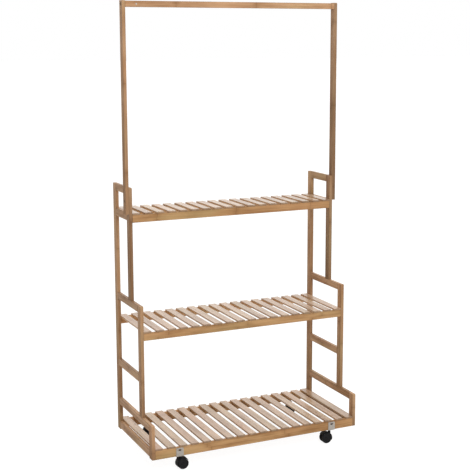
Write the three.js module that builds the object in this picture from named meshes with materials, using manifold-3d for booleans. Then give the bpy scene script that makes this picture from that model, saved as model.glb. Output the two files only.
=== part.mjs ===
// A rolling clothes rack of bamboo: two stepped side frames joined by three slatted shelves,
// a raised hanging bar and four twin-wheel swivel casters on steel angle brackets.
// Millimetres. +Z is up, -Y is the front, and the casters stand on z = 0.

import * as THREE from 'three';
import { mergeVertices } from 'three/addons/utils/BufferGeometryUtils.js';
import Module from 'manifold-3d';

const wasm = await Module();
wasm.setup();

// Driving dimensions of the wooden frame
const frameWidth = 819;
const frameDepth = 372;
const stepDepth = 98;
const memberThickness = 12;
const memberWidth = 28;
const postFoot = 53;
const frameHeight = 988;

// Arms and rungs of a side frame: underside and top of each
const lowArm = [151.5, 177.5];
const rung = [303, 329];
const middleArm = [557.5, 582];
const topArm = [962.5, frameHeight];
const bottomSideRail = [58, 85];

// Shelves: each is set back one step from the one below
const railThickness = 12;
const slatCount = 18;
const slatWidth = 29;
const slatThickness = 6;
const slatTieThickness = 1.5;
const shelfLevels = [
  { name: 'bottom', step: 0, railFoot: postFoot, railHeight: 32.5 },
  { name: 'middle', step: 1, railFoot: 457.5, railHeight: 27 },
  { name: 'top', step: 2, railFoot: 863.5, railHeight: 27.5 },
];

// Hanging frame, bolted to the outside of the two upper posts
const hangingPostSpan = [894, 1636];
const hangingBarSpan = [1613, 1634];
const boltRadius = 3;
const boltHeadRadius = 6;
const boltHeadHeight = 2;
const frameBoltLength = 21;
const barBoltLength = 54;

// Round heads of bolts and screws: shares of the head's radius and height, from its foot up
const headProfile = [[1, 0], [1, 0.35], [0.85, 0.8], [0.6, 1]];

// Steel angle bracket and screw that carry each caster
const bracketWidth = 28;
const bracketTop = 84;
const bracketReach = 31;
const plateThickness = 2;
const screwHeight = 76;
const screwRadius = 2;
const screwHeadRadius = 3.8;
const screwHeadHeight = 1.5;
const screwLength = 12;

// Casters
const casterSpacing = 612;
const stemInset = 17;
const stemRadius = 3.9;
const stemTop = 61;
const collarRadius = 5.5;
const collarSpan = [33, 50.5];
const wheelRadius = 20;
const wheelOuterFace = 14;
const wheelInnerFace = 4.6;
const treadChamfer = 1;
const treadShoulder = 1.8;
const rimShoulder = 0.4;
const rimRadius = 15.5;
const hubRadius = 5;
const dishDepth = 1;
const casterTrail = 15.4;
const axleRadius = 2;
const axleLength = 23;
const hoodRadius = 22.4;
const hoodWidth = 25;
const webRadius = 17;
const hoodAngles = [35, 205];
const casters = [
  { name: 'front_left', side: -1, end: -1, heading: 0 },
  { name: 'front_right', side: 1, end: -1, heading: 180 },
  { name: 'rear_left', side: -1, end: 1, heading: 25 },
  { name: 'rear_right', side: 1, end: 1, heading: 30 },
];

// Clearances and facets
const gap = 0.3;
const wheelClearance = 0.6;
const cutMargin = 5;
const roundSegments = 16;
const wheelSegments = 36;
const hoodSegments = 12;

// The rear casters trail out behind the frame, so the frame stands a little forward of the origin
const frameShift = -4;

// Derived places
const innerFace = frameWidth / 2 - memberThickness;
const outerFace = frameWidth / 2;
const frontEdge = -frameDepth / 2;
const rearEdge = frameDepth / 2;
const rearPostFront = rearEdge - memberWidth;
const upperPostFront = frontEdge + 2 * stepDepth;
const hangingDepth = [upperPostFront, upperPostFront + memberWidth];
const boltDepth = upperPostFront + memberWidth / 2;
const frameBoltHeight = (hangingPostSpan[0] + frameHeight) / 2;
const barBoltHeight = (hangingBarSpan[0] + hangingBarSpan[1]) / 2;

const bambooFrame = new THREE.MeshStandardMaterial({ color: 0xb28c68, roughness: 0.55, metalness: 0 });
const bambooSlat = new THREE.MeshStandardMaterial({ color: 0xc9b4a0, roughness: 0.6, metalness: 0 });
const darkSteel = new THREE.MeshStandardMaterial({ color: 0x55565a, roughness: 0.4, metalness: 1 });
const zincSteel = new THREE.MeshStandardMaterial({ color: 0xb4b6b8, roughness: 0.35, metalness: 1 });
const blackNylon = new THREE.MeshStandardMaterial({ color: 0x1c1c1e, roughness: 0.45, metalness: 0 });

const rack = new THREE.Group();
rack.position.y = frameShift;

// Boolean helpers

function toSolid(geometry) {
  const bare = geometry.clone();
  bare.deleteAttribute('normal');
  bare.deleteAttribute('uv');
  const merged = mergeVertices(bare);
  return new wasm.Manifold(new wasm.Mesh({
    numProp: 3,
    vertProperties: new Float32Array(merged.attributes.position.array),
    triVerts: new Uint32Array(merged.index.array),
  }));
}

function toGeometry(solid) {
  const mesh = solid.getMesh();
  const geometry = new THREE.BufferGeometry();
  geometry.setAttribute('position', new THREE.BufferAttribute(mesh.vertProperties, 3));
  geometry.setIndex(new THREE.BufferAttribute(mesh.triVerts, 1));
  return geometry;
}

function join(geometries) {
  const solids = geometries.map(toSolid);
  return toGeometry(solids.reduce((whole, piece) => whole.add(piece)));
}

function cut(geometry, cutters) {
  const solids = cutters.map(toSolid);
  return toGeometry(solids.reduce((rest, cutter) => rest.subtract(cutter), toSolid(geometry)));
}

// Shape helpers

function block(xSpan, ySpan, zSpan) {
  const spans = [xSpan, ySpan, zSpan];
  const [width, depth, height] = spans.map(([low, high]) => high - low);
  const centre = spans.map(([low, high]) => (low + high) / 2);
  return new THREE.BoxGeometry(width, depth, height).translate(...centre);
}

function cylinder(axis, radius, span, [first, second], segments = roundSegments) {
  const geometry = new THREE.CylinderGeometry(radius, radius, span[1] - span[0], segments);
  const middle = (span[0] + span[1]) / 2;
  if (axis === 'x') {
    return geometry.rotateZ(-Math.PI / 2).translate(middle, first, second);
  }
  if (axis === 'y') {
    return geometry.translate(first, middle, second);
  }
  return geometry.rotateX(Math.PI / 2).translate(first, second, middle);
}

function ordered(first, second) {
  return first < second ? [first, second] : [second, first];
}

function addPart(parent, name, geometry, material) {
  const mesh = new THREE.Mesh(geometry, material);
  mesh.name = name;
  parent.add(mesh);
  return mesh;
}

// Side frames: four posts that step back with height, and the arms and rails between them

function addSideFrame(sideName, side) {
  const thickness = ordered(side * innerFace, side * outerFace);
  const postSpan = (step) => [frontEdge + step * stepDepth, frontEdge + step * stepDepth + memberWidth];
  const armSpan = (step) => [postSpan(step)[1], rearPostFront];
  const upperPostSpan = [middleArm[1], frameHeight];
  const boltHole = cylinder(
    'x',
    boltRadius + gap,
    ordered(side * (outerFace + cutMargin), side * (outerFace + memberThickness - frameBoltLength - gap)),
    [boltDepth, frameBoltHeight],
  );
  const members = [
    ['rear_post', [rearPostFront, rearEdge], [postFoot, frameHeight]],
    ['middle_post', postSpan(1), [lowArm[1], middleArm[1]]],
    ['lower_post', postSpan(0), [postFoot, lowArm[1]]],
    ['top_arm', armSpan(2), topArm],
    ['middle_arm', armSpan(1), middleArm],
    ['rung', armSpan(1), rung],
    ['low_arm', armSpan(0), lowArm],
    ['top_side_rail', armSpan(2), topSideRailSpan()],
    ['bottom_side_rail', armSpan(0), bottomSideRail],
  ];
  for (const [name, depth, height] of members) {
    addPart(rack, `${sideName}_${name}`, block(thickness, depth, height), bambooFrame);
  }
  const upperPost = cut(block(thickness, postSpan(2), upperPostSpan), [boltHole]);
  addPart(rack, `${sideName}_upper_post`, upperPost, bambooFrame);
}

function topSideRailSpan() {
  const { railFoot, railHeight } = shelfLevels[2];
  const slatTop = railFoot + railHeight + slatThickness;
  return [slatTop - railHeight, slatTop];
}

// Shelves: a front and a rear rail under a panel of slats

function addShelf({ name, step, railFoot, railHeight }) {
  const front = frontEdge + step * stepDepth;
  const railSpan = [railFoot, railFoot + railHeight];
  const width = [-innerFace, innerFace];
  const frontSpan = [front, front + railThickness];
  const rearSpan = [rearEdge - railThickness, rearEdge];
  const frontRail = block(width, frontSpan, railSpan);
  const rearRail = block(width, rearSpan, railSpan);
  const drilled = name === 'bottom';
  addPart(rack, `${name}_front_rail`, drilled ? cut(frontRail, screwHoles(-1)) : frontRail, bambooFrame);
  addPart(rack, `${name}_rear_rail`, drilled ? cut(rearRail, screwHoles(1)) : rearRail, bambooFrame);

  const slatSpan = [railSpan[1], railSpan[1] + slatThickness];
  const tieSpan = [railSpan[1], railSpan[1] + slatTieThickness];
  const pitch = (2 * innerFace - slatWidth) / (slatCount - 1);
  const pieces = [block(width, frontSpan, tieSpan), block(width, rearSpan, tieSpan)];
  for (let index = 0; index < slatCount; index += 1) {
    const left = -innerFace + index * pitch;
    pieces.push(block([left, left + slatWidth], [front, rearEdge], slatSpan));
  }
  addPart(rack, `${name}_shelf_slats`, join(pieces), bambooSlat);
}

function screwHoles(end) {
  const face = end * rearEdge;
  const depth = face - end * (screwLength - plateThickness + gap);
  const span = ordered(face + end * cutMargin, depth);
  return [-1, 1].map((side) => {
    const centre = [side * casterSpacing / 2, screwHeight];
    return cylinder('y', screwRadius + gap, span, centre);
  });
}

// Hanging frame: two posts, a bar and the bolts that hold them

function addHangingFrame() {
  const bar = block([-outerFace, outerFace], hangingDepth, hangingBarSpan);
  const postFace = outerFace + memberThickness;
  const barHoleEnd = postFace - barBoltLength - gap;
  const barHoles = [-1, 1].map((side) => cylinder(
    'x',
    boltRadius + gap,
    ordered(side * (outerFace + cutMargin), side * barHoleEnd),
    [boltDepth, barBoltHeight],
  ));
  addPart(rack, 'hanging_bar', cut(bar, barHoles), bambooFrame);

  for (const [sideName, side] of [['left', -1], ['right', 1]]) {
    const post = block(ordered(side * outerFace, side * postFace), hangingDepth, hangingPostSpan);
    const throughSpan = ordered(side * (outerFace - cutMargin), side * (postFace + cutMargin));
    const holes = [frameBoltHeight, barBoltHeight].map(
      (height) => cylinder('x', boltRadius + gap, throughSpan, [boltDepth, height]),
    );
    addPart(rack, `${sideName}_hanging_post`, cut(post, holes), bambooFrame);
    addBolt(`${sideName}_frame_bolt`, side, postFace, frameBoltHeight, frameBoltLength);
    addBolt(`${sideName}_bar_bolt`, side, postFace, barBoltHeight, barBoltLength);
  }
}

// A round-headed bolt or screw, turned about +Y with the underside of its head at y = 0

function fastener(shankRadius, shankLength, headRadius, headHeight) {
  const profile = [
    [0, -shankLength],
    [shankRadius - gap, -shankLength],
    [shankRadius, -shankLength + 2 * gap],
    [shankRadius, 0],
    ...headProfile.map(([radius, height]) => [radius * headRadius, height * headHeight]),
    [0, headHeight],
  ];
  return new THREE.LatheGeometry(profile.map(([radius, y]) => new THREE.Vector2(radius, y)), roundSegments);
}

function addBolt(name, side, face, height, length) {
  const geometry = fastener(boltRadius, length, boltHeadRadius, boltHeadHeight);
  const bolt = addPart(rack, name, geometry, darkSteel);
  bolt.position.set(side * face, boltDepth, height);
  bolt.rotation.z = -side * Math.PI / 2;
}

// Caster brackets: an angle of steel, screwed to the rail's face, with the caster's hole in its leg.
// Each is made for the front and turned half round for the rear.

function addBracket({ name, side, end }) {
  const mounting = new THREE.Group();
  mounting.position.set(side * casterSpacing / 2, end * rearEdge, 0);
  mounting.rotation.z = end < 0 ? 0 : Math.PI;
  rack.add(mounting);

  const legFoot = postFoot - plateThickness;
  const outline = new THREE.Shape([
    new THREE.Vector2(-plateThickness, legFoot),
    new THREE.Vector2(bracketReach - plateThickness, legFoot),
    new THREE.Vector2(bracketReach - plateThickness, postFoot),
    new THREE.Vector2(0, postFoot),
    new THREE.Vector2(0, bracketTop),
    new THREE.Vector2(-plateThickness, bracketTop),
  ]);
  const angle = new THREE.ExtrudeGeometry(outline, { depth: bracketWidth, bevelEnabled: false });
  angle.rotateX(Math.PI / 2).rotateZ(Math.PI / 2).translate(-bracketWidth / 2, 0, 0);
  const legSpan = [legFoot - cutMargin, postFoot + cutMargin];
  const stemHole = cylinder('z', stemRadius + gap, legSpan, [0, stemInset]);
  const screwHole = cylinder(
    'y',
    screwRadius + gap,
    [-plateThickness - cutMargin, cutMargin],
    [0, screwHeight],
  );
  addPart(mounting, `${name}_bracket`, cut(angle, [stemHole, screwHole]), zincSteel);

  const screw = fastener(screwRadius, screwLength, screwHeadRadius, screwHeadHeight);
  const placed = addPart(mounting, `${name}_bracket_screw`, screw, darkSteel);
  placed.position.set(0, -plateThickness, screwHeight);
  placed.rotation.z = Math.PI;
}

// Casters: in each caster's own group +X is the way it trails and Y is along the axle

function casterHousing() {
  const [firstAngle, lastAngle] = hoodAngles.map(THREE.MathUtils.degToRad);
  const fullTurn = 2 * Math.PI;
  const outline = new THREE.Shape();
  outline.absarc(casterTrail, wheelRadius, hoodRadius, firstAngle, lastAngle, false);
  outline.absarc(casterTrail, wheelRadius, webRadius, lastAngle, firstAngle + fullTurn, false);
  const body = new THREE.ExtrudeGeometry(outline, {
    depth: hoodWidth,
    bevelEnabled: false,
    curveSegments: hoodSegments,
  });
  body.rotateX(Math.PI / 2).translate(0, hoodWidth / 2, 0);
  const collar = cylinder('z', collarRadius, collarSpan, [0, 0]);
  const stem = cylinder('z', stemRadius, [collarSpan[0], stemTop], [0, 0]);
  const axleCentre = [casterTrail, wheelRadius];
  const webFace = wheelInnerFace - gap;
  const wheelRooms = [-1, 1].map((side) => cylinder(
    'y',
    wheelRadius + wheelClearance,
    ordered(side * webFace, side * (hoodWidth / 2 + cutMargin)),
    axleCentre,
    wheelSegments,
  ));
  const axleHole = cylinder('y', axleRadius + gap, [-hoodWidth, hoodWidth], axleCentre);
  return cut(join([body, collar, stem]), [...wheelRooms, axleHole]);
}

function casterWheel(side) {
  const boreEnd = axleLength / 2 + gap;
  const profile = [
    [0, boreEnd],
    [axleRadius + gap, boreEnd],
    [axleRadius + gap, wheelInnerFace],
    [wheelRadius - treadChamfer, wheelInnerFace],
    [wheelRadius, wheelInnerFace + treadChamfer],
    [wheelRadius, wheelOuterFace - treadShoulder],
    [wheelRadius - treadChamfer, wheelOuterFace - rimShoulder],
    [rimRadius, wheelOuterFace],
    [rimRadius - dishDepth, wheelOuterFace - dishDepth],
    [hubRadius + dishDepth, wheelOuterFace - dishDepth],
    [hubRadius, wheelOuterFace],
    [0, wheelOuterFace],
  ];
  const points = profile.map(([radius, y]) => new THREE.Vector2(radius, y));
  const wheel = new THREE.LatheGeometry(points, wheelSegments);
  return side > 0 ? wheel : wheel.rotateX(Math.PI);
}

function addCaster({ name, side, end, heading }) {
  const caster = new THREE.Group();
  caster.position.set(side * casterSpacing / 2, end * (rearEdge - stemInset), 0);
  caster.rotation.z = THREE.MathUtils.degToRad(heading);
  rack.add(caster);

  addPart(caster, `${name}_caster_housing`, casterHousing(), blackNylon);
  const axleSpan = [-axleLength / 2, axleLength / 2];
  const axle = cylinder('y', axleRadius, axleSpan, [casterTrail, wheelRadius]);
  addPart(caster, `${name}_caster_axle`, axle, zincSteel);
  for (const [wheelName, wheelSide] of [['wheel_a', -1], ['wheel_b', 1]]) {
    const wheel = addPart(caster, `${name}_${wheelName}`, casterWheel(wheelSide), blackNylon);
    wheel.position.set(casterTrail, 0, wheelRadius);
  }
}

addSideFrame('left', -1);
addSideFrame('right', 1);
shelfLevels.forEach(addShelf);
addHangingFrame();
casters.forEach(addBracket);
casters.forEach(addCaster);

export default rack;
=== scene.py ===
"""Looks of the rolling clothes rack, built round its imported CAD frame. Metres, +Z up, -Y the front."""

import math
import random

import bmesh
import bpy
from mathutils import Matrix, Vector


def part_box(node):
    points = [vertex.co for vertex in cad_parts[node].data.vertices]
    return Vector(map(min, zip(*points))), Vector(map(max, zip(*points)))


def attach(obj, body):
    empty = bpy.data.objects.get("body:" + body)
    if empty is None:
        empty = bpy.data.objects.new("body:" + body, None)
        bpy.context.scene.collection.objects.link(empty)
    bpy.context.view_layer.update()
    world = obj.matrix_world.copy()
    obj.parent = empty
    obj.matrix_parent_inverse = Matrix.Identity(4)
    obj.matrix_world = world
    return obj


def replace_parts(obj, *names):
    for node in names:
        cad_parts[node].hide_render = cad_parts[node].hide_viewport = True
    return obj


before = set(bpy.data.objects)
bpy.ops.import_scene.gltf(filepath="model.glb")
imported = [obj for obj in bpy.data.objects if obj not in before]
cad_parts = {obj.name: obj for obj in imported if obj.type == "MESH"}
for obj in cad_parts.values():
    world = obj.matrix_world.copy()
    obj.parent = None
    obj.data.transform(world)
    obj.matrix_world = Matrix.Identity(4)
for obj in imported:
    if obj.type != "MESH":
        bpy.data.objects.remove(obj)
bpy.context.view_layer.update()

MM = 0.001
TURN = 2 * math.pi
ACROSS = Vector((1, 0, 0))
BACKWARD = Vector((0, 1, 0))
UP = Vector((0, 0, 1))
seeds = random.Random(20)

# Camera: the photograph's viewing angle
CAMERA_PLACE = Vector((-1.6472, -3.6126, 1.5166))
CAMERA_YAW = math.radians(25.267)
CAMERA_PITCH = math.radians(9.481)
CAMERA_ROLL = math.radians(0.043)
SENSOR_WIDTH = 36
CAMERA_LENS = 83.785
CAMERA_SHIFT = (-0.0319, -0.0362)

# Studio: how bright the surroundings are and how that rises towards the back right, the key lamp, and how
# bright the floor and the backdrop look to the camera
SKY_LEVEL = 0.8
SKY_SLOPE = (0.35, 0.45, 0.0)
KEY_PLACE = (-0.5, -3.6, 3.0)
KEY_TARGET = (0, 0, 0.8)
KEY_SIZE = 2.6
KEY_POWER = 80
FLOOR_GLOW = 0.9
FLOOR_REACH = 60
BACKDROP = 1.0

# Eased edges: the wood's small ones, its rounded corners, and those of the brackets and housings. An edge
# sharper than RIM_ANGLE is eased, and shading breaks at an edge sharper than CREASE_ANGLE.
WOOD_EASE = 0.8 * MM
WOOD_EASE_STEPS = 3
ROUNDED_CORNER = 4.5 * MM
ROUNDED_STEPS = 6
CUT_EASE = 0.35 * MM
CUT_EASE_STEPS = 2
RIM_ANGLE = math.radians(40)
CREASE_ANGLE = math.radians(32)
FLUSH = 1e-6

# Slats, inside each shelf's slat panel
SLAT_COUNT = 18
SLAT_WIDTH = 29 * MM
SLAT_DRIFTS = {"bottom": 2.2 * MM, "middle": 3.2 * MM, "top": 1.0 * MM}
SLAT_JOG = 0.9 * MM
SLAT_SETBACK = 0.35 * MM

# How far the brightness varies from slat to slat and from board to board, and where in the grain each piece
# is cut
SLAT_TONES = (0.92, 1.08)
BOARD_TONES = (0.97, 1.03)
GRAIN_REACH = 20

# Bolts and screws
BOLT_HEAD = 2 * MM
SCREW_HEAD = 1.5 * MM
SCREW_SHANK = 2 * MM
ROUND_SEGMENTS = 48

# Cross nuts in the hanging bar: from the bar's end, and how far the recessed face stands out
NUT_INSET = 40 * MM
NUT_RADIUS = 3 * MM
NUT_DEPTH = 6 * MM
NUT_PROUD = 0.25 * MM
NUT_RECESS = 0.04 * MM

# Brackets, with the slot that the screw sits in
BRACKET_THICKNESS = 2 * MM
BRACKET_BEND = 3 * MM
BRACKET_BEND_STEPS = 6
BRACKET_TIP = 3.5 * MM
BRACKET_TIP_STEPS = 5
SCREW_SLOT_LENGTH = 12.5 * MM
SCREW_SLOT_HEIGHT = 5.5 * MM
SCREW_SLOT_STEPS = 10

# Casters: the stem behind the rail's face, the wheels, how far they trail behind the stem, the hood over
# them with room for them to turn, and the web between them
STEM_INSET = 17 * MM
WHEEL_RADIUS = 20 * MM
CASTER_TRAIL = 15.4 * MM
HOOD_RADIUS = 22.4 * MM
HOOD_ROOM = 20.6 * MM
HOOD_WIDTH = 25 * MM
HOOD_ANGLES = (math.radians(35), math.radians(205))
WEB_RADIUS = 17 * MM
WEB_HALF = 4.3 * MM
WHEEL_FACE = 14 * MM
CORNERS = ("front_left", "front_right", "rear_left", "rear_right")

# Members whose top corner is rounded: -1 at the front, 1 at the rear
ROUNDED_TOPS = {
    "lower_post": -1,
    "middle_post": -1,
    "upper_post": -1,
    "rear_post": 1,
    "hanging_post": -1,
}

# Brightness of the members that are lighter or darker than the rest: partly the wood's own tone and partly
# painted light and shade, with the upper posts and the right frame darker where shade falls on them, and the
# rear rails and the left rear post lighter though they stand in shade
MEMBER_TONES_AND_PAINTED_LIGHT = {
    "left_rear_post": 1.05,
    "left_hanging_post": 1.04,
    "left_upper_post": 0.77,
    "left_middle_post": 0.97,
    "left_lower_post": 1.03,
    "left_middle_arm": 0.85,
    "left_top_arm": 0.9,
    "left_low_arm": 0.95,
    "left_rung": 0.97,
    "right_upper_post": 0.73,
    "right_middle_post": 1.05,
    "right_lower_post": 0.97,
    "right_hanging_post": 0.8,
    "right_low_arm": 0.9,
    "right_top_arm": 0.95,
    "hanging_bar": 1.07,
    "bottom_front_rail": 1.07,
    "bottom_rear_rail": 1.2,
    "middle_rear_rail": 1.2,
    "top_rear_rail": 1.2,
}


# ---------------------------------------------------------------- node helpers


class Nodes:
    """A material's node tree, with short calls for the nodes used here."""

    def __init__(self, name):
        self.material = bpy.data.materials.new(name)
        self.material.use_nodes = True
        self.tree = self.material.node_tree
        self.tree.nodes.clear()
        self.shader = self.tree.nodes.new("ShaderNodeBsdfPrincipled")
        output = self.tree.nodes.new("ShaderNodeOutputMaterial")
        self.tree.links.new(self.shader.outputs["BSDF"], output.inputs["Surface"])

    def plug(self, value, socket):
        """Links a node's output to a socket, or sets the socket to a plain value."""
        if isinstance(value, bpy.types.NodeSocket):
            self.tree.links.new(value, socket)
        else:
            socket.default_value = value

    def attribute(self, name, output):
        node = self.tree.nodes.new("ShaderNodeAttribute")
        node.attribute_name = name
        return node.outputs[output]

    def maths(self, operation, *values, clamp=False):
        node = self.tree.nodes.new("ShaderNodeMath")
        node.operation = operation
        node.use_clamp = clamp
        for value, socket in zip(values, node.inputs):
            self.plug(value, socket)
        return node.outputs[0]

    def scaled(self, vector, scale):
        node = self.tree.nodes.new("ShaderNodeVectorMath")
        node.operation = "MULTIPLY"
        self.plug(vector, node.inputs[0])
        node.inputs[1].default_value = scale
        return node.outputs[0]

    def split(self, vector):
        node = self.tree.nodes.new("ShaderNodeSeparateXYZ")
        self.plug(vector, node.inputs[0])
        return node.outputs

    def noise(self, vector, scale, detail=2.0, roughness=0.5):
        node = self.tree.nodes.new("ShaderNodeTexNoise")
        self.plug(vector, node.inputs["Vector"])
        node.inputs["Scale"].default_value = scale
        node.inputs["Detail"].default_value = detail
        node.inputs["Roughness"].default_value = roughness
        return node.outputs[0]

    def white(self, value):
        """A random number for each whole value."""
        node = self.tree.nodes.new("ShaderNodeTexWhiteNoise")
        node.noise_dimensions = "1D"
        self.plug(value, node.inputs["W"])
        return node.outputs["Value"]

    def span(self, value, low, high, to_low=0.0, to_high=1.0):
        """The value carried from the range low to high to the range to_low to to_high."""
        node = self.tree.nodes.new("ShaderNodeMapRange")
        self.plug(value, node.inputs["Value"])
        for name, number in (("From Min", low), ("From Max", high), ("To Min", to_low), ("To Max", to_high)):
            self.plug(number, node.inputs[name])
        return node.outputs[0]

    def mix(self, factor, first, second, blend="MIX"):
        """Mixes two colours, whose sockets on this node come after those for plain numbers."""
        node = self.tree.nodes.new("ShaderNodeMix")
        node.data_type = "RGBA"
        node.blend_type = blend
        self.plug(factor, node.inputs[0])
        self.plug(first, node.inputs[6])
        self.plug(second, node.inputs[7])
        return node.outputs[2]

    def bump(self, height, strength, distance):
        """Sets the shader's normal from a height."""
        node = self.tree.nodes.new("ShaderNodeBump")
        node.inputs["Strength"].default_value = strength
        node.inputs["Distance"].default_value = distance
        self.plug(height, node.inputs["Height"])
        self.plug(node.outputs[0], self.shader.inputs["Normal"])

    def set(self, **values):
        """Sets the shader's inputs, with an underscore for each space in their names."""
        for name, value in values.items():
            self.plug(value, self.shader.inputs[name.replace("_", " ")])


def rgb(red, green, blue):
    return (red, green, blue, 1.0)


# Dark colour of the stalk's joints, the glue lines and the end grain, also used as painted shade along the
# eased edges
DARK_FIBRE_AND_SHADE = rgb(0.15, 0.075, 0.035)
RED_PATCH = rgb(0.52, 0.26, 0.12)
# Painted shade: the darker orange-brown of a slat's narrow faces, for the shade in the gaps between slats
GREEN_PATCH = rgb(0.50, 0.37, 0.17)
SHADED_NARROW_FACE = rgb(0.60, 0.34, 0.15)
WHITE = rgb(1.0, 1.0, 1.0)
JOINT_SPACING = 0.31
MEMBER_STRIP = 14 * MM
SLAT_STRIP = 9.6 * MM

# How fine each noise is along, across and through the grain
FIBRES = (14, 900, 900)
STREAKS = (3, 170, 170)
DRIFTS = (7, 30, 30)
HUES = (4, 20, 20)
ROLLED_GRAIN = (60, 2600, 2600)
SCUFFS = (1, 1, 6)


# ------------------------------------------------------------------- materials


def bamboo(name, pale, deep, strips, seams, gloss, sheen):
    """Lacquered bamboo board: fibres along the grain, laminated strips, and the stalk's joints across them,
    with painted shade on its eased edges and on a slat's narrow faces.
    The mesh attribute "grain" holds (along, across, through) in metres, "edge" is 1 on an eased edge,
    "end" is 1 on end grain, "side" is 1 on a slat's narrow faces, and "tone" scales a whole piece's
    brightness. strips is the width of one laminated strip and seams how dark its glue lines are; gloss and
    sheen set the lacquer's shine."""
    n = Nodes(name)
    grain = n.attribute("grain", "Vector")
    along, across, through = n.split(grain)[:]
    edge = n.attribute("edge", "Fac")
    end = n.attribute("end", "Fac")
    side = n.attribute("side", "Fac")
    tone = n.attribute("tone", "Fac")

    strip = n.maths("DIVIDE", across, strips)
    strip_tone = n.white(n.maths("FLOOR", strip))
    glue = n.span(n.maths("PINGPONG", strip, 0.5), 0.0, 0.05, 1.0, 0.0)

    fibre = n.noise(n.scaled(grain, FIBRES), 1.0, 3.0, 0.6)
    streak = n.noise(n.scaled(grain, STREAKS), 1.0, 2.0)
    drift = n.noise(n.scaled(grain, DRIFTS), 1.0, 3.0)
    hue = n.noise(n.scaled(grain, HUES), 1.0, 2.0)

    joint_phase = n.maths("MULTIPLY_ADD", strip_tone, 3.7, n.maths("DIVIDE", along, JOINT_SPACING))
    joint = n.maths("PINGPONG", joint_phase, 0.5)
    ring = n.span(joint, 0.0, 0.006, 1.0, 0.0)
    halo = n.span(joint, 0.004, 0.06, 1.0, 0.0)

    shade = n.maths("MULTIPLY_ADD", fibre, 0.8, n.maths("MULTIPLY", streak, 1.0))
    shade = n.maths("MULTIPLY_ADD", drift, 1.6, shade)
    shade = n.maths("MULTIPLY_ADD", n.maths("SUBTRACT", strip_tone, 0.5), 0.25, shade)
    shade = n.maths("MULTIPLY_ADD", halo, -0.2, shade)
    colour = n.mix(n.span(shade, 1.3, 2.1), deep, pale)
    colour = n.mix(n.span(hue, 0.52, 0.72, 0.0, 0.5), colour, RED_PATCH)
    colour = n.mix(n.span(hue, 0.48, 0.28, 0.0, 0.4), colour, GREEN_PATCH)
    colour = n.mix(n.maths("MULTIPLY", ring, 0.45), colour, DARK_FIBRE_AND_SHADE)
    colour = n.mix(n.maths("MULTIPLY", glue, seams), colour, DARK_FIBRE_AND_SHADE)
    # Painted shade on the slats' narrow faces, which stand in the shaded gaps between them
    colour = n.mix(n.maths("MULTIPLY", side, 0.6), colour, SHADED_NARROW_FACE)
    colour = n.mix(n.maths("MULTIPLY", end, 0.45), colour, DARK_FIBRE_AND_SHADE)
    # Painted shade: the eased edges are darkened almost to the dark colour, as lines of shade along them
    edge_shade = n.maths("MULTIPLY", edge, n.span(drift, 0.35, 0.65, 0.95, 0.7))
    colour = n.mix(edge_shade, colour, DARK_FIBRE_AND_SHADE)
    colour = n.mix(1.0, colour, tone, "MULTIPLY")

    rough = n.maths("MULTIPLY_ADD", end, 0.2, n.span(fibre, 0.3, 0.7, 0.34, 0.48))
    rough = n.maths("MULTIPLY_ADD", edge, 0.3, rough)
    n.set(Base_Color=colour, Roughness=rough, Specular_IOR_Level=gloss)
    n.set(Coat_Weight=sheen, Coat_Roughness=0.22)
    height = n.maths("SUBTRACT", n.maths("MULTIPLY_ADD", ring, 0.5, fibre), glue)
    n.bump(height, 0.25, 0.0002)
    return n.material


def plated_steel(name, base, rough_low, rough_high):
    """Plated sheet steel with a faint rolled grain and cloudy plating."""
    n = Nodes(name)
    grain = n.attribute("grain", "Vector")
    rolled = n.noise(n.scaled(grain, ROLLED_GRAIN), 1.0, 2.0)
    cloud = n.noise(grain, 130.0, 3.0)
    edge = n.attribute("edge", "Fac")
    colour = n.mix(n.span(cloud, 0.3, 0.7), rgb(*[c * 0.82 for c in base]), rgb(*base))
    colour = n.mix(n.maths("MULTIPLY", edge, 0.3), colour, rgb(*[min(1.0, c * 1.25) for c in base]))
    rough = n.span(n.maths("MULTIPLY_ADD", cloud, 0.5, n.maths("MULTIPLY", rolled, 0.5)), 0.3, 0.7,
                   rough_low, rough_high)
    n.set(Base_Color=colour, Roughness=rough, Metallic=1.0)
    n.bump(rolled, 0.12, 0.0001)
    return n.material


def moulded_nylon(name, base, worn, wear_amount):
    """Black moulded nylon: fine spark texture, dust in patches and scuffed edges."""
    n = Nodes(name)
    grain = n.attribute("grain", "Vector")
    edge = n.attribute("edge", "Fac")
    spark = n.noise(grain, 3200.0, 2.0)
    patch = n.noise(grain, 160.0, 3.0, 0.6)
    scuff = n.noise(n.scaled(grain, SCUFFS), 420.0, 3.0, 0.7)
    colour = n.mix(n.span(patch, 0.35, 0.7), base, rgb(*[c * 1.6 for c in base[:3]]))
    mark = n.maths("MULTIPLY", n.span(scuff, 0.5, 0.62), n.maths("MULTIPLY_ADD", edge, 0.6, 0.12))
    colour = n.mix(n.maths("MULTIPLY", mark, wear_amount), colour, worn)
    n.set(Base_Color=colour, Roughness=n.span(patch, 0.3, 0.7, 0.3, 0.45), Specular_IOR_Level=0.15)
    n.bump(spark, 0.2, 0.0001)
    return n.material


def floor_paint():
    """Plain pale floor with a barely uneven sheen, that the camera sees a little brighter."""
    n = Nodes("floor_paint")
    coordinates = n.tree.nodes.new("ShaderNodeTexCoord").outputs["Object"]
    mottle = n.noise(coordinates, 3.0, 3.0)
    seen = n.tree.nodes.new("ShaderNodeLightPath").outputs["Is Camera Ray"]
    paint = n.mix(mottle, rgb(0.72, 0.72, 0.72), rgb(0.76, 0.76, 0.76))
    n.set(Base_Color=n.mix(seen, paint, rgb(0.22, 0.22, 0.22)))
    n.set(Roughness=n.span(mottle, 0.3, 0.7, 0.7, 0.8), Specular_IOR_Level=0.2)
    n.set(Emission_Color=WHITE, Emission_Strength=n.maths("MULTIPLY", seen, FLOOR_GLOW))
    return n.material


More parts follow.
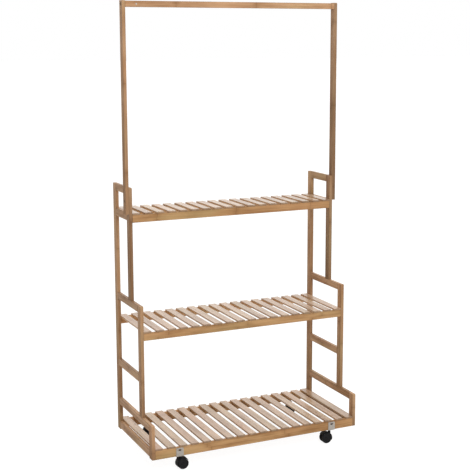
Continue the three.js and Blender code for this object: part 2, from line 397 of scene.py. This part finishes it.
FRAME_BAMBOO = bamboo("bamboo_frame_wood", rgb(0.64, 0.395, 0.225), rgb(0.34, 0.178, 0.084),
                      MEMBER_STRIP, 0.3, 0.12, 0.0)
RAIL_BAMBOO = bamboo("bamboo_rail_wood", rgb(0.62, 0.365, 0.17), rgb(0.34, 0.173, 0.069),
                     MEMBER_STRIP, 0.3, 0.12, 0.0)
SLAT_BAMBOO = bamboo("bamboo_slat_wood", rgb(0.66, 0.46, 0.30), rgb(0.40, 0.245, 0.14),
                     SLAT_STRIP, 0.6, 0.5, 0.4)
ZINC = plated_steel("zinc_plate", (0.62, 0.58, 0.525), 0.35, 0.5)
DARK_STEEL = plated_steel("dark_screw_steel", (0.16, 0.15, 0.15), 0.3, 0.5)
BRONZED_STEEL = plated_steel("bronzed_bolt_steel", (0.30, 0.20, 0.13), 0.35, 0.5)
HOUSING_NYLON = moulded_nylon("housing_nylon", rgb(0.007, 0.007, 0.008), rgb(0.06, 0.06, 0.06), 0.5)
WHEEL_NYLON = moulded_nylon("wheel_nylon_black", rgb(0.009, 0.009, 0.010), rgb(0.12, 0.11, 0.10), 0.7)


# ---------------------------------------------------------------- mesh helpers


def finished(name, bm, material, body, grain_axes=(ACROSS, BACKWARD, UP), half=None, tone=1.0,
             narrow_side_shade=0.0):
    """Turns a bmesh into a piece that rides on a body. grain_axes gives the world axes along, across and
    through the piece; half is the half size of a straight wooden block along them; the narrow-face argument
    is how much painted shade its narrow faces get, kept as "side"; and tone is its brightness, partly the
    wood's own tone and partly painted light and shade."""
    mesh = bpy.data.meshes.new(name)
    bm.normal_update()
    bm.to_mesh(mesh)
    bm.free()
    mesh.materials.append(material)
    points = [v.co.copy() for v in mesh.vertices]
    centre = sum(points, Vector()) / len(points)
    offset = Vector([seeds.uniform(0, GRAIN_REACH) for _ in range(3)])
    mesh.attributes.new("grain", "FLOAT_VECTOR", "POINT")
    for mark in ("edge", "end", "side", "tone"):
        mesh.attributes.new(mark, "FLOAT", "POINT")
    marks = mesh.attributes
    for index, point in enumerate(points):
        local = Vector([(point - centre).dot(axis) for axis in grain_axes])
        marks["grain"].data[index].vector = local + offset
        marks["tone"].data[index].value = tone
        if half:
            reach = [half_size - abs(value) for half_size, value in zip(half, local)]
            nearest = sorted(reach)
            eased = nearest[0] > FLUSH and nearest[1] < WOOD_EASE + FLUSH
            marks["edge"].data[index].value = 1.0 if eased else 0.0
            marks["end"].data[index].value = 1.0 if reach[0] < FLUSH else 0.0
            marks["side"].data[index].value = narrow_side_shade if reach[1] < FLUSH else 0.0
    piece = bpy.data.objects.new(name, mesh)
    bpy.context.scene.collection.objects.link(piece)
    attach(piece, body)
    return piece


def eased_block(low, high, rounded):
    """A straight block with eased edges, its flat faces left flat. rounded is -1 or 1 to give the top corner
    at its front or rear a larger radius, and 0 for none."""
    bm = bmesh.new()
    bmesh.ops.create_cube(bm, size=1.0)
    size = high - low
    bmesh.ops.transform(bm, matrix=Matrix.Diagonal((*size, 1.0)), verts=bm.verts)
    if rounded:
        corner = [e for e in bm.edges if all(v.co.z > 0 and v.co.y * rounded > 0 for v in e.verts)]
        bmesh.ops.bevel(bm, geom=corner, offset=ROUNDED_CORNER, segments=ROUNDED_STEPS, profile=0.5,
                        affect="EDGES")
    rims = [e for e in bm.edges if e.calc_face_angle() > RIM_ANGLE]
    bmesh.ops.bevel(bm, geom=rims, offset=WOOD_EASE, segments=WOOD_EASE_STEPS, profile=0.5, affect="EDGES")
    bmesh.ops.translate(bm, vec=(low + high) / 2, verts=bm.verts)
    flatten(bm, WOOD_EASE * min(size) * 1.5)
    return bm


def flatten(bm, least_area):
    """Flat shading for the faces square to an axis and larger than least_area, smooth for the rest."""
    for face in bm.faces:
        straight = max(abs(c) for c in face.normal) > 0.9999
        face.smooth = not (straight and face.calc_area() > least_area)


def long_axes(size):
    """World axes along, across and through a block of that size, longest first, and its half sizes."""
    order = sorted(range(3), key=lambda axis: -size[axis])
    units = (ACROSS, BACKWARD, UP)
    return [units[axis] for axis in order], [size[axis] / 2 for axis in order]


def wooden_block(name, low, high, material, tone, narrow_side_shade=0.0, rounded=0):
    """A straight piece of wood on the frame, between two opposite corners."""
    axes, half = long_axes(high - low)
    return finished(name, eased_block(low, high, rounded), material, "frame", axes, half,
                    tone * seeds.uniform(*BOARD_TONES), narrow_side_shade)


def corners(node):
    """The two opposite corners of a CAD node's box."""
    low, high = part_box(node)
    return Vector(low), Vector(high)


def facing(corner):
    """Which way along Y a corner of the rack faces."""
    return -1 if corner.startswith("front") else 1


def wooden_member(node, material, rounded=0):
    """A straight piece of wood in the place of its CAD node."""
    low, high = corners(node)
    # The member's brightness: its wood's tone together with painted light and shade
    piece = wooden_block(f"{node}_board", low, high, material, MEMBER_TONES_AND_PAINTED_LIGHT.get(node, 1.0),
                         rounded=rounded)
    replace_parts(piece, node)


def turned(profile, segments=32, shapes=None):
    """A closed solid of revolution about Z. profile holds (radius, height) from one end to the other;
    shapes maps a ring's index to a function of angle that scales its radius."""
    bm = bmesh.new()
    rings = []
    for index, (radius, height) in enumerate(profile):
        if radius == 0:
            rings.append([bm.verts.new((0, 0, height))])
            continue
        shape = (shapes or {}).get(index, lambda angle: 1.0)
        ring = []
        for step in range(segments):
            angle = TURN * step / segments
            reach = radius * shape(angle)
            ring.append(bm.verts.new((reach * math.cos(angle), reach * math.sin(angle), height)))
        rings.append(ring)
    for below, above in zip(rings, rings[1:]):
        for step in range(segments):
            following = (step + 1) % segments
            if len(below) == 1:
                bm.faces.new((below[0], above[following], above[step]))
            elif len(above) == 1:
                bm.faces.new((below[step], below[following], above[0]))
            else:
                bm.faces.new((below[step], below[following], above[following], above[step]))
    bmesh.ops.recalc_face_normals(bm, faces=bm.faces)
    for face in bm.faces:
        face.smooth = True
    return bm


def hexagon(angle):
    """Radius of a hexagon of unit corner radius."""
    return math.cos(math.pi / 6) / math.cos((angle % (math.pi / 3)) - math.pi / 6)


def cross(angle):
    """Radius of a cross recess of unit reach."""
    longer = max(abs(math.cos(angle)), abs(math.sin(angle)))
    shorter = min(abs(math.cos(angle)), abs(math.sin(angle)))
    return min(1 / longer, 0.3 / max(shorter, 0.01))


def place(bm, origin, z_axis, x_axis=None):
    """Moves a bmesh made about Z so that its Z lies along z_axis at origin."""
    z_axis = Vector(z_axis).normalized()
    x_axis = Vector(x_axis) if x_axis else z_axis.orthogonal()
    x_axis = (x_axis - z_axis * x_axis.dot(z_axis)).normalized()
    y_axis = z_axis.cross(x_axis)
    matrix = Matrix((x_axis, y_axis, z_axis)).transposed().to_4x4()
    matrix.translation = origin
    bmesh.ops.transform(bm, matrix=matrix, verts=bm.verts)
    return bm


def sharpened(piece):
    """Keeps corners crisp on a smooth-shaded piece, and its flat faces flat."""
    polygons = piece.data.polygons
    smooth = [polygon.use_smooth for polygon in polygons]
    piece.data.set_sharp_from_angle(angle=CREASE_ANGLE)
    for polygon, is_smooth in zip(polygons, smooth):
        polygon.use_smooth = is_smooth
    return piece


# ---------------------------------------------------------------- wooden parts


def side_frames():
    """The two stepped side frames, ten members each."""
    members = ("rear_post", "upper_post", "middle_post", "lower_post", "top_arm", "middle_arm", "rung",
               "low_arm", "top_side_rail", "bottom_side_rail")
    for side in ("left", "right"):
        for member in members:
            wooden_member(f"{side}_{member}", FRAME_BAMBOO, ROUNDED_TOPS.get(member, 0))


def shelf(level):
    """Two rails and the separate slats that the CAD slat panel stands for."""
    for end in ("front", "rear"):
        wooden_member(f"{level}_{end}_rail", RAIL_BAMBOO)
    low, high = corners(f"{level}_shelf_slats")
    pitch = (high.x - low.x - SLAT_WIDTH) / (SLAT_COUNT - 1)
    for index in range(SLAT_COUNT):
        left = low.x + index * pitch
        if 0 < index < SLAT_COUNT - 1:
            left += SLAT_DRIFTS[level] + seeds.uniform(-SLAT_JOG, SLAT_JOG)
        corner = Vector((left, low.y + seeds.uniform(0, SLAT_SETBACK), low.z))
        opposite = Vector((left + SLAT_WIDTH, high.y - seeds.uniform(0, SLAT_SETBACK), high.z))
        # Each slat gets the full painted shade on its narrow faces
        slat = wooden_block(f"{level}_slat_{index + 1:02d}", corner, opposite, SLAT_BAMBOO,
                            seeds.uniform(*SLAT_TONES), narrow_side_shade=1.0)
        if index == 0:
            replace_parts(slat, f"{level}_shelf_slats")


def hanging_frame():
    """The two posts outside the side frames, and the bar between them."""
    for side in ("left", "right"):
        wooden_member(f"{side}_hanging_post", FRAME_BAMBOO, ROUNDED_TOPS["hanging_post"])
    wooden_member("hanging_bar", FRAME_BAMBOO)


# ------------------------------------------------------------------ metal parts


def socket_bolt(node):
    """Round-headed bolt with a hexagon socket, in the place of its CAD node."""
    low, high = corners(node)
    side = -1 if node.startswith("left") else 1
    length = high.x - low.x
    head_radius = (high.z - low.z) / 2
    head = BOLT_HEAD
    shank = head_radius / 2
    profile = [
        (0, head - length), (shank * 0.8, head - length), (shank, head - length + 0.6 * MM), (shank, 0),
        (head_radius - 0.2 * MM, 0), (head_radius, 0.2 * MM), (head_radius, 0.6 * MM),
        (head_radius * 0.93, 1.2 * MM), (head_radius * 0.8, 1.7 * MM), (head_radius * 0.6, head),
        (head_radius * 0.5, head), (head_radius * 0.46, head - 0.2 * MM),
        (head_radius * 0.46, 0.4 * MM), (0, 0.3 * MM),
    ]
    bm = turned(profile, ROUND_SEGMENTS, {10: hexagon, 11: hexagon, 12: hexagon})
    outer = high.x if side > 0 else low.x
    origin = Vector((outer - side * head, (low.y + high.y) / 2, (low.z + high.z) / 2))
    piece = finished(f"{node}_socket_head", place(bm, origin, (side, 0, 0), UP), BRONZED_STEEL, "frame")
    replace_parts(sharpened(piece), node)


def barrel_nut(side):
    """The end, with a cross recess, of the nut that a bar bolt screws into: in the bar's front face on the
    left and in its rear face on the right."""
    low, high = corners("hanging_bar")
    sign = -1 if side == "left" else 1
    profile = [
        (0, -NUT_DEPTH), (NUT_RADIUS, -NUT_DEPTH), (NUT_RADIUS, NUT_RECESS),
        (NUT_RADIUS - 0.3 * MM, NUT_PROUD), (NUT_RADIUS * 0.62, NUT_PROUD), (NUT_RADIUS * 0.5, NUT_RECESS),
        (0, NUT_RECESS),
    ]
    bm = turned(profile, ROUND_SEGMENTS, {4: cross, 5: cross})
    end = low.x if sign < 0 else high.x
    face = low.y if sign < 0 else high.y
    origin = Vector((end - sign * NUT_INSET, face, (low.z + high.z) / 2))
    sharpened(finished(f"{side}_bar_barrel_nut", place(bm, origin, (0, sign, 0), UP), ZINC, "frame"))


def bend_arc(radius, start, stop):
    """Points within the bracket's bend, without its two ends, as (inward, up) from its outer corner."""
    points = []
    for step in range(1, BRACKET_BEND_STEPS):
        angle = start + (stop - start) * step / BRACKET_BEND_STEPS
        points.append((BRACKET_BEND - radius * math.cos(angle), BRACKET_BEND - radius * math.sin(angle)))
    return points


def bent_plate(low, high, outward):
    """The bracket as bent, with both tips rounded, its face looking outward and its leg running inward."""
    reach = high.y - low.y
    height = high.z - low.z
    quarter = math.pi / 2
    outline = [(0.0, height), (0.0, BRACKET_BEND)]
    outline += bend_arc(BRACKET_BEND, 0.0, quarter)
    outline += [(BRACKET_BEND, 0.0), (reach, 0.0)]
    outline += [(reach, BRACKET_THICKNESS), (BRACKET_BEND, BRACKET_THICKNESS)]
    outline += bend_arc(BRACKET_BEND - BRACKET_THICKNESS, quarter, 0.0)
    outline += [(BRACKET_THICKNESS, BRACKET_BEND), (BRACKET_THICKNESS, height)]
    face_y = low.y if outward < 0 else high.y
    bm = prism([(low.x, face_y - outward * y, low.z + z) for y, z in outline],
               [(high.x, face_y - outward * y, low.z + z) for y, z in outline])
    tips = []
    for edge in bm.edges:
        first, second = edge.verts[0].co, edge.verts[1].co
        at_side = abs(first.x - second.x) < FLUSH
        at_top = min(first.z, second.z) > high.z - FLUSH
        leg_tip = abs(first.y - second.y) < FLUSH and abs(abs(first.y - face_y) - reach) < FLUSH
        if at_side and (at_top or leg_tip):
            tips.append(edge)
    bmesh.ops.bevel(bm, geom=tips, offset=BRACKET_TIP, segments=BRACKET_TIP_STEPS, profile=0.5,
                    affect="EDGES")
    return bm


def stem_foot(corner):
    """The point on a caster's upright axis that is level with the rail's underside."""
    low, high = corners(f"{corner}_bracket")
    outward = facing(corner)
    face_y = low.y if outward < 0 else high.y
    rail_face = face_y - outward * BRACKET_THICKNESS
    return Vector(((low.x + high.x) / 2, rail_face - outward * STEM_INSET, low.z + BRACKET_THICKNESS))


def bracket(corner):
    """Bent steel angle under the bottom rail, with the slot for its screw, and the lock nut on the caster's
    stem."""
    low, high = corners(f"{corner}_bracket")
    outward = facing(corner)
    screw_low, screw_high = corners(f"{corner}_bracket_screw")
    screw_height = (screw_low.z + screw_high.z) / 2
    slot = oblong(SCREW_SLOT_LENGTH, SCREW_SLOT_HEIGHT, (low.x + high.x) / 2, screw_height)
    cutter = slab(slot, 4 * BRACKET_THICKNESS)
    face_y = low.y if outward < 0 else high.y
    bmesh.ops.translate(cutter, vec=(0, face_y, 0), verts=cutter.verts)
    bm = combined(bent_plate(low, high, outward), [(cutter, "DIFFERENCE")])
    flatten(bm, BRACKET_THICKNESS * BRACKET_THICKNESS)
    piece = sharpened(finished(f"{corner}_steel_angle", bm, ZINC, "frame"))
    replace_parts(piece, f"{corner}_bracket")

    nut = [(4.05 * MM, 0), (7.2 * MM, 0), (7.5 * MM, 0.3 * MM), (7.5 * MM, 4.2 * MM), (7.0 * MM, 4.8 * MM),
           (4.6 * MM, 4.8 * MM), (4.05 * MM, 4.4 * MM)]
    nut_bm = ring_solid(nut, ROUND_SEGMENTS, {1: hexagon, 2: hexagon, 3: hexagon, 4: hexagon})
    sharpened(finished(f"{corner}_lock_nut", place(nut_bm, stem_foot(corner), UP), ZINC, "frame"))


def oblong(length, height, x, z):
    """Outline in XZ of a slot with round ends, about a centre."""
    radius = height / 2
    reach = length / 2 - radius
    quarter = math.pi / 2
    return (arc((x + reach, z), radius, -quarter, quarter, SCREW_SLOT_STEPS)
            + arc((x - reach, z), radius, quarter, 3 * quarter, SCREW_SLOT_STEPS))


def ring_solid(profile, segments, shapes=None):
    """A closed ring about Z whose profile joins up with its own start."""
    bm = turned(profile, segments, shapes)
    bm.verts.ensure_lookup_table()
    count = len(bm.verts)
    first = bm.verts[:segments]
    last = bm.verts[count - segments:]
    for step in range(segments):
        following = (step + 1) % segments
        bm.faces.new((last[step], last[following], first[following], first[step])).smooth = True
    bmesh.ops.recalc_face_normals(bm, faces=bm.faces)
    return bm


def bracket_screw(corner):
    """Pan-headed screw with a cross recess."""
    node = f"{corner}_bracket_screw"
    low, high = corners(node)
    outward = facing(corner)
    radius = (high.x - low.x) / 2
    head = SCREW_HEAD
    length = high.y - low.y - head
    profile = [
        (0, -length), (0.3 * MM, -length), (SCREW_SHANK, -length + 3 * MM), (SCREW_SHANK, 0),
        (radius - 0.15 * MM, 0),
        (radius, 0.15 * MM), (radius, 0.5 * MM), (radius * 0.9, 1.0 * MM), (radius * 0.7, 1.35 * MM),
        (radius * 0.58, head), (radius * 0.5, head - 0.05 * MM), (radius * 0.3, 0.4 * MM), (0, 0.3 * MM),
    ]
    bm = turned(profile, ROUND_SEGMENTS, {10: cross, 11: cross})
    outer = low.y if outward < 0 else high.y
    origin = Vector(((low.x + high.x) / 2, outer - outward * head, (low.z + high.z) / 2))
    piece = finished(f"{node}_cross_head", place(bm, origin, (0, outward, 0), UP), DARK_STEEL, "frame")
    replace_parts(sharpened(piece), node)


# ---------------------------------------------------------------------- casters


def arc(centre, radius, start, stop, steps):
    """Points along an arc, both ends included."""
    points = []
    for step in range(steps + 1):
        angle = start + (stop - start) * step / steps
        points.append((centre[0] + radius * math.cos(angle), centre[1] + radius * math.sin(angle)))
    return points


def prism(near_points, far_points):
    """A closed solid between two outlines of the same number of points."""
    bm = bmesh.new()
    near = [bm.verts.new(point) for point in near_points]
    far = [bm.verts.new(point) for point in far_points]
    bm.faces.new(near)
    bm.faces.new(reversed(far))
    for index in range(len(near)):
        following = (index + 1) % len(near)
        bm.faces.new((near[index], far[index], far[following], near[following]))
    bmesh.ops.recalc_face_normals(bm, faces=bm.faces)
    return bm


def slab(outline, half_width):
    """A plate of that outline in XZ, extending half_width either side of Y = 0."""
    return prism([(x, -half_width, z) for x, z in outline], [(x, half_width, z) for x, z in outline])


def scratch_object(bm):
    """A throwaway object for a modifier to work on."""
    mesh = bpy.data.meshes.new("scratch")
    bm.to_mesh(mesh)
    bm.free()
    scratch = bpy.data.objects.new("scratch", mesh)
    bpy.context.scene.collection.objects.link(scratch)
    return scratch


def combined(base, others):
    """The base bmesh joined with or cut by others, a list of (bmesh, operation), as a new bmesh with eased
    edges."""
    scratch = scratch_object(base)
    helpers = []
    for bm, operation in others:
        helper = scratch_object(bm)
        modifier = scratch.modifiers.new(operation, "BOOLEAN")
        modifier.operation = operation
        modifier.solver = "EXACT"
        modifier.object = helper
        helpers.append(helper)
    softening = scratch.modifiers.new("edges", "BEVEL")
    softening.width = CUT_EASE
    softening.segments = CUT_EASE_STEPS
    softening.limit_method = "ANGLE"
    softening.angle_limit = RIM_ANGLE
    graph = bpy.context.evaluated_depsgraph_get()
    result = bmesh.new()
    result.from_object(scratch, graph)
    for item in [scratch, *helpers]:
        mesh = item.data
        bpy.data.objects.remove(item)
        bpy.data.meshes.remove(mesh)
    for face in result.faces:
        face.smooth = True
    return result


def housing_shape():
    """Hood, centre web and stem collar of a caster, about the stem's axis, trailing along +X."""
    axle = (CASTER_TRAIL, WHEEL_RADIUS)
    first, last = HOOD_ANGLES
    outline = arc(axle, HOOD_RADIUS, first, last, 40) + arc(axle, WEB_RADIUS, last, first + TURN, 36)
    body = slab(outline, HOOD_WIDTH / 2)
    collar = turned([(0, 33 * MM), (5.5 * MM, 33 * MM), (5.5 * MM, 40 * MM), (4.9 * MM, 42 * MM),
                     (4.9 * MM, 49 * MM), (4.4 * MM, 49.8 * MM), (0, 49.8 * MM)], 32)
    steps = [(collar, "UNION")]
    for side in (-1, 1):
        room = turned([(0, WEB_HALF), (HOOD_ROOM, WEB_HALF), (HOOD_ROOM, HOOD_WIDTH), (0, HOOD_WIDTH)], 64)
        steps.append((place(room, Vector((axle[0], 0, axle[1])), (0, side, 0)), "DIFFERENCE"))
    return combined(body, steps)


def stem_shape():
    """Steel stem with a groove for its grip ring."""
    return turned([(0, 44 * MM), (3.9 * MM, 44 * MM), (3.9 * MM, 58 * MM), (3.5 * MM, 58.3 * MM),
                   (3.5 * MM, 59.2 * MM), (3.9 * MM, 59.5 * MM), (3.9 * MM, 60.3 * MM), (3.3 * MM, 61 * MM),
                   (0, 61 * MM)], 32)


def wheel_shape():
    """One wheel of a pair, about +Z, its outer face up and its inner face at the web."""
    return turned([
        (0, 4.6 * MM), (5.5 * MM, 4.6 * MM), (5.5 * MM, 7.5 * MM), (16.2 * MM, 7.5 * MM),
        (16.5 * MM, 4.8 * MM), (18.8 * MM, 4.6 * MM), (19.6 * MM, 4.9 * MM), (WHEEL_RADIUS, 5.7 * MM),
        (WHEEL_RADIUS, 9.2 * MM), (19.85 * MM, 9.35 * MM), (WHEEL_RADIUS, 9.5 * MM), (WHEEL_RADIUS, 12 * MM),
        (19.7 * MM, 12.9 * MM), (18.9 * MM, 13.55 * MM), (17.2 * MM, 13.9 * MM),
        (15.6 * MM, WHEEL_FACE),
        (15.1 * MM, 13.8 * MM), (14.8 * MM, 13.2 * MM), (11 * MM, 12.9 * MM), (6.6 * MM, 13.0 * MM),
        (6.2 * MM, 13.2 * MM), (5.9 * MM, 13.8 * MM), (5.2 * MM, WHEEL_FACE), (2.4 * MM, WHEEL_FACE),
        (2.1 * MM, 13.7 * MM), (0, 13.6 * MM),
    ], 72)


def caster(corner):
    """Housing, stem, axle and two wheels, in the places of their CAD nodes."""
    stem = stem_foot(corner)
    stem.z = 0
    axle_low, axle_high = corners(f"{corner}_caster_axle")
    axle = (axle_low + axle_high) / 2
    heading = axle - stem
    heading.z = 0
    heading.normalize()
    sideways = UP.cross(heading)
    body = f"{corner}_caster"

    housing = finished(f"{corner}_housing", place(housing_shape(), stem, UP, heading), HOUSING_NYLON, body)
    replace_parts(sharpened(housing), f"{corner}_caster_housing")
    sharpened(finished(f"{corner}_stem", place(stem_shape(), stem, UP, heading), ZINC, body))
    pin = turned([(0, -11.5 * MM), (1.8 * MM, -11.5 * MM), (2 * MM, -11.2 * MM), (2 * MM, 11.2 * MM),
                  (1.8 * MM, 11.5 * MM), (0, 11.5 * MM)], 32)
    axle_pin = finished(f"{corner}_axle_pin", place(pin, axle, sideways), ZINC, body)
    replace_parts(sharpened(axle_pin), f"{corner}_caster_axle")
    for letter, side in (("a", -1), ("b", 1)):
        wheel = finished(f"{corner}_twin_wheel_{letter}", place(wheel_shape(), axle, sideways * side),
                         WHEEL_NYLON, f"{corner}_wheel_{letter}")
        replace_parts(sharpened(wheel), f"{corner}_wheel_{letter}")


# ------------------------------------------------------------------------ scene


def floor():
    """A wide floor that belongs to the studio and not to the rack."""
    bm = bmesh.new()
    bmesh.ops.create_grid(bm, x_segments=8, y_segments=8, size=FLOOR_REACH)
    mesh = bpy.data.meshes.new("floor")
    bm.to_mesh(mesh)
    bm.free()
    mesh.materials.append(floor_paint())
    plane = bpy.data.objects.new("floor", mesh)
    bpy.context.scene.collection.objects.link(plane)


def soft_light(name, place_at, target, size, power):
    """A round area lamp that looks at a target."""
    data = bpy.data.lights.new(name, "AREA")
    data.shape = "DISK"
    data.size = size
    data.energy = power
    lamp = bpy.data.objects.new(name, data)
    lamp.location = place_at
    lamp.rotation_mode = "QUATERNION"
    lamp.rotation_quaternion = (Vector(target) - Vector(place_at)).to_track_quat("-Z", "Y")
    bpy.context.scene.collection.objects.link(lamp)


def studio():
    """White surroundings that light the rack less from its left and front, and one soft key lamp in
    front."""
    world = bpy.data.worlds.new("studio")
    world.use_nodes = True
    tree = world.node_tree
    direction = tree.nodes.new("ShaderNodeTexCoord").outputs["Generated"]
    slope = tree.nodes.new("ShaderNodeVectorMath")
    slope.operation = "DOT_PRODUCT"
    slope.inputs[1].default_value = SKY_SLOPE
    tree.links.new(direction, slope.inputs[0])
    level = tree.nodes.new("ShaderNodeMapRange")
    level.inputs["From Min"].default_value = -1.0
    level.inputs["To Min"].default_value = SKY_LEVEL - 1.0
    level.inputs["To Max"].default_value = SKY_LEVEL + 1.0
    tree.links.new(slope.outputs["Value"], level.inputs["Value"])
    seen = tree.nodes.new("ShaderNodeMix")
    seen.inputs["B"].default_value = BACKDROP
    ray = tree.nodes.new("ShaderNodeLightPath").outputs["Is Camera Ray"]
    tree.links.new(ray, seen.inputs["Factor"])
    tree.links.new(level.outputs[0], seen.inputs["A"])
    background = tree.nodes["Background"]
    background.inputs["Color"].default_value = WHITE
    tree.links.new(seen.outputs[0], background.inputs["Strength"])
    bpy.context.scene.world = world
    bpy.context.scene.view_settings.view_transform = "Standard"
    soft_light("key", KEY_PLACE, KEY_TARGET, KEY_SIZE, KEY_POWER)


def camera():
    """The camera, looking along its yaw and pitch and turned by its roll."""
    data = bpy.data.cameras.new("camera")
    data.sensor_width = SENSOR_WIDTH
    data.lens = CAMERA_LENS
    data.shift_x, data.shift_y = CAMERA_SHIFT
    forward = Vector((
        math.sin(CAMERA_YAW) * math.cos(CAMERA_PITCH),
        math.cos(CAMERA_YAW) * math.cos(CAMERA_PITCH),
        -math.sin(CAMERA_PITCH),
    ))
    level = Vector((math.cos(CAMERA_YAW), -math.sin(CAMERA_YAW), 0))
    down = forward.cross(level)
    right = level * math.cos(CAMERA_ROLL) + down * math.sin(CAMERA_ROLL)
    up = right.cross(forward)
    view = Matrix((right, up, -forward)).transposed().to_4x4()
    view.translation = CAMERA_PLACE
    eye = bpy.data.objects.new("camera", data)
    eye.matrix_world = view
    bpy.context.scene.collection.objects.link(eye)
    bpy.context.scene.camera = eye


camera()
floor()
studio()
side_frames()
for shelf_level in ("bottom", "middle", "top"):
    shelf(shelf_level)
hanging_frame()
for bolt in ("left_frame_bolt", "right_frame_bolt", "left_bar_bolt", "right_bar_bolt"):
    socket_bolt(bolt)
for bar_end in ("left", "right"):
    barrel_nut(bar_end)
for rack_corner in CORNERS:
    bracket(rack_corner)
    bracket_screw(rack_corner)
    caster(rack_corner)
